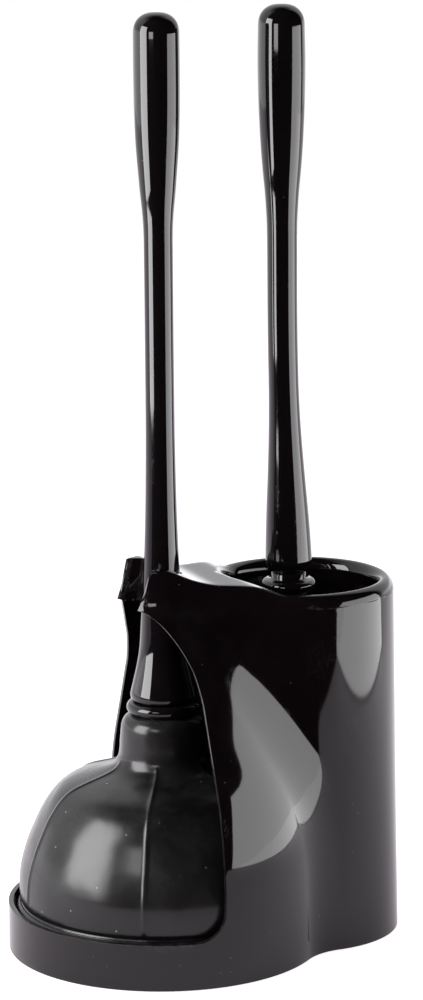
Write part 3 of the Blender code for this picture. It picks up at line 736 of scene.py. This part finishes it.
def moulded_rubber(name, colour, gloss, dust, bloom):
    """Black rubber: satin, cloudy where bloom has come out, with dust specks and scuffs."""
    made, tree, shader = new_finish(name)
    place = add_node(tree, "ShaderNodeTexCoord").outputs["Object"]
    specks = use_group(tree, DUST, Spacing=0.0052, Speck=0.075, Film=dust)
    scuffs = use_group(tree, MARKS, Length=0.012, Amount=0.8, Turn=1.1)["Mask"]
    rubbed_and_highlit = use_group(tree, RUB_AND_HIGHLIGHT, Amount=0.5)["Mask"]
    cloudy = noise(tree, 46.0, place, 5.0, 0.62)
    grain = noise(tree, 1500.0, place, 2.0, 0.5)
    base = mix_colour(tree, ramp(tree, cloudy, 0.38, 0.72), colour, bloom)
    # lighter on scuffs and sharp edges: wear, and on the edges a painted highlight as well
    worn_and_highlit = mix_colour(tree, math_node(tree, "MAXIMUM", rubbed_and_highlit, scuffs), base, [c * 2.4 for c in bloom])
    dusty = math_node(tree, "ADD", specks["Specks"], specks["Film"], clamp=True)
    tree.links.new(mix_colour(tree, dusty, worn_and_highlit, (0.30, 0.295, 0.28)), shader.inputs["Base Color"])
    links = {"Value": cloudy, "To Min": gloss * 0.82, "To Max": gloss * 1.25}
    rough = add_node(tree, "ShaderNodeMapRange", links)
    rough = math_node(tree, "ADD", rough.outputs[0], math_node(tree, "MULTIPLY", scuffs, 0.12), clamp=True)
    tree.links.new(rough, shader.inputs["Roughness"])
    swell = use_group(tree, WAVES, Length=0.012, Stretch=0.8)["Height"]
    first = add_node(tree, "ShaderNodeBump", {"Height": swell, "Distance": 0.00025})
    links = {"Height": grain, "Distance": 0.00002, "Normal": first.outputs[0]}
    second = add_node(tree, "ShaderNodeBump", links)
    tree.links.new(second.outputs[0], shader.inputs["Normal"])
    return made


def nylon_filament(name):
    made, tree, shader = new_finish(name)
    place = add_node(tree, "ShaderNodeTexCoord").outputs["Object"]
    shade = noise(tree, 700.0, place, 2.0, 0.5)
    colour = mix_colour(tree, shade, (0.008, 0.008, 0.009), (0.03, 0.03, 0.032))
    tree.links.new(colour, shader.inputs["Base Color"])
    rough = add_node(tree, "ShaderNodeMapRange", {"Value": shade, "To Min": 0.28, "To Max": 0.5})
    tree.links.new(rough.outputs[0], shader.inputs["Roughness"])
    streak = add_node(tree, "ShaderNodeBump", {"Height": shade, "Distance": 0.00002})
    tree.links.new(streak.outputs[0], shader.inputs["Normal"])
    return made


def zinc_plate(name):
    made, tree, shader = new_finish(name)
    shader.inputs["Metallic"].default_value = 1.0
    place = add_node(tree, "ShaderNodeTexCoord").outputs["Object"]
    spangle = noise(tree, 900.0, place, 3.0, 0.6)
    colour = mix_colour(tree, spangle, (0.42, 0.42, 0.43), (0.62, 0.62, 0.64))
    tree.links.new(colour, shader.inputs["Base Color"])
    rough = add_node(tree, "ShaderNodeMapRange", {"Value": spangle, "To Min": 0.26, "To Max": 0.5})
    tree.links.new(rough.outputs[0], shader.inputs["Roughness"])
    pits = add_node(tree, "ShaderNodeBump", {"Height": spangle, "Distance": 0.00002})
    tree.links.new(pits.outputs[0], shader.inputs["Normal"])
    return made


# ---------------------------------------------------------------- turned pieces
def spread(keys, step, longest):
    """(height, radius) keys in rising height as a fine smooth outline, top to bottom."""
    low, high = keys[0][0], keys[-1][0]
    count = max(2, round((high - low) / step))
    outline = []
    for k in range(count + 1):
        z = between(high, low, k / count)
        reach = min(longest, z - low, high - z)
        outline.append((softened(keys, z, reach) if reach > 0 else through(keys, z), z))
    return outline


def domed_end(top, radius, height, power=0.8, steps=14):
    """Outline of a handle's rounded end, from its pole down to its side."""
    outline = [(0.0, top)]
    for k in range(1, steps):
        turn = math.radians(90 * (1 - k / steps))
        outline.append((radius * math.cos(turn) ** power, top - height + height * math.sin(turn)))
    return outline


def plunger_handle_piece(finish):
    top = PLUNGER_HIGH[2]
    dome = 0.0100
    keys = [
        (0.1334, 0.0160), (0.1370, 0.0151), (0.1420, 0.0139), (0.1560, 0.01142), (0.1670, 0.01080),
        (0.2040, 0.00870), (0.2350, 0.00775), (0.2757, 0.00725), (0.3200, 0.00718), (0.3660, 0.00725),
        (0.3760, 0.00785), (0.3858, 0.00890), (0.3960, 0.00975), (0.4055, 0.01055), (0.4150, 0.01112),
        (0.4300, 0.01155), (0.4480, 0.01165), (top - dome, PLUNGER_GRIP),
    ]
    outline = domed_end(top, PLUNGER_GRIP, dome) + spread(keys, 0.0025, 0.0040)
    low = PLUNGER_LOW[2]
    outline += [(0.01635, 0.1318), (0.01640, 0.1305), (0.01620, 0.1294)]
    outline += [(0.0156, low + 0.0006), (0.0150, low)]
    outline += [(PLUNGER_BORE, low), (PLUNGER_BORE, low + 0.03), (0.0, low + 0.034)]
    bm = lathe(outline, PLUNGER_Y)
    make_piece("turned_plunger_handle", bm, finish, "plunger", ("plunger_handle",))


def plunger_ring_piece(finish):
    low, high = RING_LOW[2], RING_HIGH[2]
    middle, half = (low + high) / 2, (high - low) / 2
    outline = [(PLUNGER_BORE, high)]
    outline += arc((RING_HIGH[0] - half, middle), half, 90.0, -90.0, 16)
    outline += [(PLUNGER_BORE, low)]
    bm = lathe(outline, PLUNGER_Y)
    make_piece("turned_handle_ring", bm, finish, "plunger", ("plunger_ring",))


def brush_handle_piece(finish):
    top = BRUSH_HIGH[2]
    dome = 0.0102
    keys = [
        (0.1946, 0.0119), (0.2060, 0.01145), (0.2181, 0.0108), (0.2388, 0.00945), (0.2595, 0.0083),
        (0.2700, 0.0079), (0.2850, 0.0076), (0.3200, 0.00752), (0.3640, 0.0076),
        (0.3730, 0.0080), (0.3820, 0.0086),
        (0.3920, 0.0096), (0.4020, 0.01045), (0.4120, 0.0111), (0.4315, 0.0119), (0.4470, 0.0121),
        (top - dome, BRUSH_GRIP),
    ]
    low = BRUSH_LOW[2]
    outline = domed_end(top, BRUSH_GRIP, dome) + spread(keys, 0.0025, 0.0040)
    outline += [(0.0119, 0.1938), (0.0116, 0.1926)]
    outline += [(0.0098, low + 0.0018), (0.0093, low + 0.0006), (0.0088, low)]
    outline += [(BRUSH_BORE, low), (BRUSH_BORE, low + 0.012), (0.0, low + 0.014)]
    bm = lathe(outline, BRUSH_Y)
    step = [(0.195, 0.0), (0.330, 0.0030), (0.476, 0.0030)]
    for vert in bm.verts:
        vert.co.y -= through(step, vert.co.z)
    make_piece("turned_brush_handle", bm, finish, "brush", ("brush_handle",))


def splash_disc_piece(finish):
    low, high = DISC_LOW[2], DISC_HIGH[2]
    rim = 0.0029
    middle = low + rim
    neck = 0.0088
    outline = [(BRUSH_BORE, high), (neck - 0.0005, high), (neck, high - 0.0005)]
    outline += [(neck, middle + rim + 0.0006)]
    outline += [(neck + 0.0004, middle + rim + 0.0001)]
    outline += arc((DISC_HIGH[0] - rim, middle), rim, 78.0, -90.0, 14)
    outline += [(BRUSH_BORE, low)]
    bm = lathe(outline, BRUSH_Y)
    make_piece("turned_splash_disc", bm, finish, "brush", ("splash_disc",))


# ---------------------------------------------------------------- rubber cup
RIB_ANGLES = [math.radians(30 + 60 * k) for k in range(6)]
RIB_HEIGHT = 0.0007
RIB_WIDTH = 0.0011


def cup_angles():
    """Angles round the cup, close together across each rib."""
    across = (-3.2, -2.1, -1.4, -0.9, -0.45, 0.0, 0.45, 0.9, 1.4, 2.1, 3.2)
    angles = []
    for rib in RIB_ANGLES:
        angles += [rib + math.radians(d) for d in across]
        angles += [rib + math.radians(between(3.2, 56.8, k / 13)) for k in range(1, 13)]
    return angles


def with_ribs(radius, height, angle):
    """Raises the six thin ribs that run from the neck's foot to the groove above the lip."""
    if not (0.0262 < height < 0.0985):
        return radius, height
    away = min(abs((angle - rib + math.pi) % (2 * math.pi) - math.pi) for rib in RIB_ANGLES) * radius
    rise = RIB_HEIGHT * math.exp(-(away / RIB_WIDTH) ** 2)
    fade = min((height - 0.0262) / 0.004, (0.0985 - height) / 0.003, 1.0)
    lean = through([(0.030, 0.0), (0.075, 0.45), (0.0915, 0.95), (0.0985, 0.3)], height)
    return radius + rise * fade * (1 - lean), height + rise * fade * lean


def cup_piece(finish):
    low, top = CUP_LOW[2], CUP_HIGH[2]
    lip = CUP_HIGH[0]
    neck = [
        (0.0990, 0.0230), (0.1000, 0.02265), (0.1040, 0.0222), (0.1080, 0.02195), (0.1120, 0.0216),
        (0.1155, 0.0212), (0.1180, 0.0204), (0.1195, 0.0193), (0.1205, 0.0180), (top, 0.0166),
    ]
    bell = [
        (0.0262, 0.0739), (0.0290, 0.0741), (0.0330, 0.0742), (0.0396, 0.0738), (0.0450, 0.0728),
        (0.0545, 0.0700), (0.0658, 0.0652), (0.0700, 0.0632), (0.0762, 0.0594),
        (0.0810, 0.0556), (0.0843, 0.0518),
        (0.0864, 0.0478), (0.0881, 0.0430), (0.0897, 0.0380), (0.0912, 0.0330), (0.0928, 0.0288),
        (0.0946, 0.0258), (0.0965, 0.0242), (0.0990, 0.0230),
    ]
    outline = [(0.0123, top), (0.0160, top)] + spread(neck, 0.0008, 0.0010)
    outline += spread(bell, 0.0009, 0.0010)[1:]
    outline += [(0.0736, 0.0255), (0.0732, 0.0249), (0.0733, 0.0243), (0.0742, 0.0239)]
    bead = 0.0032
    outline += arc((lip - bead, 0.0204), bead, 78.0, 0.0, 8)
    outline += [(lip, 0.0150), (lip, 0.0100), (lip - 0.0006, 0.0062)]
    outline += [(lip - 0.0016, low + 0.0008), (lip - 0.0026, low)]
    inside = [
        (low, lip - 0.0066), (low + 0.0010, lip - 0.0074), (0.0120, lip - 0.0062), (0.0330, 0.0702),
        (0.0540, 0.0660), (0.0650, 0.0612), (0.0735, 0.0566), (0.0828, 0.0480),
        (0.0880, 0.0390), (0.0902, 0.0300), (0.0912, 0.0200),
    ]
    outline += [(radius, z) for z, radius in inside]
    outline += [(0.0100, 0.0915), (0.0, 0.0916)]
    hole = [(0.0, 0.0985), (0.0123, 0.0985)]
    bm = lathe(hole + outline, PLUNGER_Y, shape=with_ribs, angles=cup_angles())
    make_piece("ribbed_rubber_cup", bm, finish, "plunger", ("plunger_cup",))


# ---------------------------------------------------------------- well and brush head
def well_cup_piece(finish):
    """Drip cup under the well, pushed up over the shell's skirt."""
    top = WELL_HIGH[2]
    floor_top = WELL_LOW[2] + DRIP_WALL
    socket = WELL_HIGH[0]
    step = SKIRT_BOTTOM - 0.0003
    inside = socket - DRIP_WALL
    outside = BORE + DRIP_WALL
    outline = [(0.0, floor_top)]
    outline += arc((BORE - DRIP_CORNER, floor_top + DRIP_CORNER), DRIP_CORNER, -90.0, 0.0, 8)
    outline += [(BORE, step - 0.0002), (BORE + 0.0002, step), (inside, step), (inside, top - 0.0003)]
    outline += [(inside + 0.0003, top), (socket - 0.0003, top), (socket, top - 0.0003), (socket, step)]
    outline += [(socket - 0.0006, step - 0.0014), (outside + 0.0006, step - 0.0036), (outside, step - 0.0050)]
    outline += arc((outside - DRIP_CORNER, WELL_LOW[2] + DRIP_CORNER), DRIP_CORNER, 0.0, -90.0, 8)
    outline += [(0.0, WELL_LOW[2])]
    bm = lathe(outline, WELL_Y)
    make_piece("well_drip_cup", bm, finish, "caddy", ("brush_well_cup",))


def filament(bm, root, tip, radius):
    """One four-sided nylon filament, a little curved, with a cut end."""
    axis = (tip - root).normalized()
    side = axis.orthogonal().normalized()
    other = axis.cross(side)
    rings = []
    for share in (0.0, 0.55, 1.0):
        centre = root.lerp(tip, share) - Vector((0.0, 0.0, 0.0004)) * share * share
        ring = []
        for k in range(4):
            angle = math.pi / 2 * k
            ring.append(bm.verts.new(centre + (side * math.cos(angle) + other * math.sin(angle)) * radius))
        rings.append(ring)
    for lower, upper in zip(rings, rings[1:]):
        for k in range(4):
            n = (k + 1) % 4
            bm.faces.new((lower[k], lower[n], upper[n], upper[k]))
    bm.faces.new(rings[-1])


def bristle_piece(row, finish):
    """A ring of nylon tufts; each tuft fans out from its hole in the core."""
    node = f"bristle_row_{row}"
    low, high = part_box(node)
    reach = high[0]
    middle = (low[2] + high[2]) / 2
    half = (high[2] - low[2]) / 2
    rng = random.Random(100 + row)
    bm = bmesh.new()
    for k in range(TUFTS):
        angle = 2 * math.pi * (k + 0.5 * (row % 2)) / TUFTS
        out = Vector((math.cos(angle), math.sin(angle), 0.0))
        across = Vector((-math.sin(angle), math.cos(angle), 0.0))
        for _ in range(FILAMENTS):
            spin = rng.uniform(0, 2 * math.pi)
            spread_out = math.sqrt(rng.random())
            aside, rise = spread_out * math.cos(spin), spread_out * math.sin(spin)
            start = out * BRISTLE_ROOT + across * aside * TUFT_ROOT
            start += Vector((0.0, BRUSH_Y, middle + rise * TUFT_ROOT))
            length = reach - 0.0004 - rng.uniform(0.0, 0.0012)
            end = out * math.sqrt(length ** 2 - (aside * TUFT_FAN) ** 2) + across * aside * TUFT_FAN
            end += Vector((0.0, BRUSH_Y, middle + rise * (half - 0.0007) + 0.0002))
            filament(bm, start, end, FILAMENT_RADIUS)
    make_piece(f"bristle_tufts_{row}", bm, finish, "brush", (node,))


# ---------------------------------------------------------------- studio
CAMERA_PLACE = Vector((1.72757, -0.71443, 0.62422))
LOOK_TURN = math.radians(67.41)
LOOK_DOWN = math.radians(11.94)
LOOK_ROLL = math.radians(0.43)
FRAME_HEIGHT = 36.0
WHITE_TURN = -162.5           # middle of the white surroundings behind the set
LENS = 136.85


def add_camera():
    ahead = Vector((
        -math.sin(LOOK_TURN) * math.cos(LOOK_DOWN),
        math.cos(LOOK_TURN) * math.cos(LOOK_DOWN),
        -math.sin(LOOK_DOWN),
    ))
    right = Vector((math.cos(LOOK_TURN), math.sin(LOOK_TURN), 0.0))
    up = right.cross(ahead)
    across = right * math.cos(LOOK_ROLL) - up * math.sin(LOOK_ROLL)
    above = right * math.sin(LOOK_ROLL) + up * math.cos(LOOK_ROLL)
    data = bpy.data.cameras.new("studio camera")
    data.sensor_fit = "VERTICAL"
    data.sensor_height = FRAME_HEIGHT
    data.lens = LENS
    camera = bpy.data.objects.new("studio camera", data)
    bpy.context.collection.objects.link(camera)
    turn = Matrix((across, above, -ahead)).transposed().to_4x4()
    camera.matrix_world = Matrix.Translation(CAMERA_PLACE) @ turn
    bpy.context.scene.camera = camera


def toward_camera(turn, distance, height):
    """A place at a turn (degrees to the right as the camera sees it) from the camera's side."""
    flat = math.atan2(CAMERA_PLACE.y - PLUNGER_Y, CAMERA_PLACE.x) + math.radians(turn)
    return Vector((distance * math.cos(flat), PLUNGER_Y + distance * math.sin(flat), height))


def add_softbox(name, turn, width, foot, top, radiance):
    """Rectangular lamp; foot and top are the (distance, height) of its lower and upper edges."""
    low, high = toward_camera(turn, *foot), toward_camera(turn, *top)
    rise = high - low
    data = bpy.data.lights.new(name, "AREA")
    data.shape = "RECTANGLE"
    data.size = width
    data.size_y = rise.length
    data.energy = radiance * math.pi * width * rise.length
    lamp = bpy.data.objects.new(name, data)
    bpy.context.collection.objects.link(lamp)
    up = rise.normalized()
    outward = toward_camera(turn, 1.0, 0.0) - toward_camera(turn, 0.0, 0.0)
    across = up.cross(outward).normalized()
    turned_to = Matrix((across, up, across.cross(up))).transposed().to_4x4()
    lamp.matrix_world = Matrix.Translation((low + high) / 2) @ turned_to
    lamp.visible_camera = False


def add_floor():
    """Pale sweep of paper: its front edge ends a little in front of the set. It glows with painted light, and
    in what it lights and reflects, its part in front of the set is darker and glows less (painted shade); a
    faint purple tint in its colour and glow shows in the plastic's reflections.
    """
    made, tree, shader = new_finish("glowing pale paper")
    place = add_node(tree, "ShaderNodeTexCoord").outputs["Object"]
    fibre = noise(tree, 160.0, place, 3.0, 0.6)
    seen = add_node(tree, "ShaderNodeLightPath").outputs["Is Camera Ray"]
    paper = mix_colour(tree, fibre, (0.86, 0.83, 0.87), (0.90, 0.87, 0.91))
    ahead = toward_camera(0.0, 1.0, 0.0) - toward_camera(0.0, 0.0, 0.0)
    along = add_node(tree, "ShaderNodeVectorMath", {0: place, 1: tuple(ahead)}, operation="DOT_PRODUCT")
    # painted shade: for rays other than the camera's, the floor in front of the set is darker and glows less
    far = ramp(tree, along.outputs["Value"], 0.20, -0.35)
    painted_brightness = math_node(tree, "MAXIMUM", seen, far)
    tree.links.new(mix_colour(tree, painted_brightness, (0.60, 0.55, 0.60), paper), shader.inputs["Base Color"])
    shader.inputs["Roughness"].default_value = 0.9
    shader.inputs["Specular IOR Level"].default_value = 0.1
    # painted light: the floor glows though it is no lamp, which lifts the shadows on it; its faint purple
    # tint shows in reflections
    shader.inputs["Emission Color"].default_value = (1.0, 0.94, 1.0, 1.0)
    glow = add_node(tree, "ShaderNodeMapRange", {"Value": painted_brightness, "To Min": 0.36, "To Max": 0.85})
    tree.links.new(glow.outputs[0], shader.inputs["Emission Strength"])
    work = Patchwork()
    front, back, half = 0.50, 2.6, 2.6
    rows = []
    aside = Vector((-ahead.y, ahead.x, 0.0))
    centre = toward_camera(0.0, 0.0, 0.0)
    for k in range(9):
        along = between(-back, front, k / 8)
        rows.append([tuple(centre + ahead * along + aside * between(-half, half, j / 8)) for j in range(9)])
    work.grid(rows)
    mesh = bpy.data.meshes.new("floor")
    work.bm.to_mesh(mesh)
    work.bm.free()
    floor = bpy.data.objects.new("floor", mesh)
    bpy.context.collection.objects.link(floor)
    floor.data.materials.append(made)


def light_studio():
    """White surroundings behind the set, dark ones on the camera's side."""
    world = bpy.data.worlds.new("studio")
    bpy.context.scene.world = world
    world.use_nodes = True
    tree = world.node_tree
    tree.nodes.clear()
    way = add_node(tree, "ShaderNodeTexCoord").outputs["Generated"]
    height = add_node(tree, "ShaderNodeSeparateXYZ", {"Vector": way}).outputs["Z"]
    level = add_node(tree, "ShaderNodeVectorMath", {0: way, 1: (1.0, 1.0, 0.0)}, operation="MULTIPLY")
    level = add_node(tree, "ShaderNodeVectorMath", {0: level.outputs[0]}, operation="NORMALIZE")
    behind = toward_camera(WHITE_TURN, 1.0, 0.0) - toward_camera(0.0, 0.0, 0.0)
    links = {0: level.outputs[0], 1: tuple(behind)}
    facing = add_node(tree, "ShaderNodeVectorMath", links, operation="DOT_PRODUCT")
    bright = ramp(tree, facing.outputs["Value"], 0.09, 0.26)
    overhead = ramp(tree, height, 0.95, 0.75)
    bright = math_node(tree, "MULTIPLY", bright, overhead, clamp=True)
    wall = mix_colour(tree, ramp(tree, height, 0.02, 0.16), (1.9, 1.9, 1.95), (0.95, 0.95, 0.98))
    tone = mix_colour(tree, bright, (0.006, 0.005, 0.006), wall)
    seen = add_node(tree, "ShaderNodeLightPath").outputs["Is Camera Ray"]
    colour = mix_colour(tree, seen, tone, (1.0, 1.0, 1.0))
    shade = add_node(tree, "ShaderNodeBackground", {"Color": colour, "Strength": 1.0})
    out = add_node(tree, "ShaderNodeOutputWorld")
    tree.links.new(shade.outputs[0], out.inputs["Surface"])
    add_softbox("left softbox", -66.0, 0.56, (0.85, 0.12), (0.85, 0.95), 9.0)
    add_softbox("high softbox", -25.0, 0.30, (0.85, 0.40), (0.85, 0.58), 5.5)
    add_softbox("leaning softbox", 80.0, 0.80, (0.62, 0.004), (0.88, 0.440), 4.1)
    scene = bpy.context.scene
    scene.view_settings.view_transform = "Standard"
    scene.view_settings.look = "None"


# ---------------------------------------------------------------- the set
def main():
    shell = moulded_plastic("gloss black shell", (0.0034, 0.0021, 0.0027), 0.045, 0.035, 0.00006)
    dark = (0.0038, 0.0028, 0.0034)
    handle = moulded_plastic("gloss black handle", dark, 0.045, 0.030, 0.00003, index=1.55)
    inner = moulded_plastic("satin black plastic", (0.010, 0.009, 0.010), 0.24, 0.020, 0.00004)
    rubber = moulded_rubber("black cup rubber", (0.006, 0.0055, 0.006), 0.22, 0.06, (0.010, 0.0095, 0.0095))
    pads = moulded_rubber("grey pad rubber", (0.03, 0.03, 0.03), 0.6, 0.2, (0.05, 0.05, 0.05))
    nylon = nylon_filament("black nylon")
    zinc = zinc_plate("zinc plate")
    shell_piece(shell)
    plunger_handle_piece(handle)
    plunger_ring_piece(handle)
    cup_piece(rubber)
    brush_handle_piece(handle)
    splash_disc_piece(handle)
    well_cup_piece(inner)
    for row in range(1, 6):
        bristle_piece(row, nylon)
    kept = {"caddy_base_plate": inner, "cup_hub": inner, "brush_core": inner}
    kept.update({"plunger_stud": zinc, "brush_stud": zinc})
    kept.update({f"foot_pad_{k}": pads for k in range(1, 5)})
    for node, finish in kept.items():
        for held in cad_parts[node].material_slots:
            held.material = finish
    add_camera()
    add_floor()
    light_studio()


main()
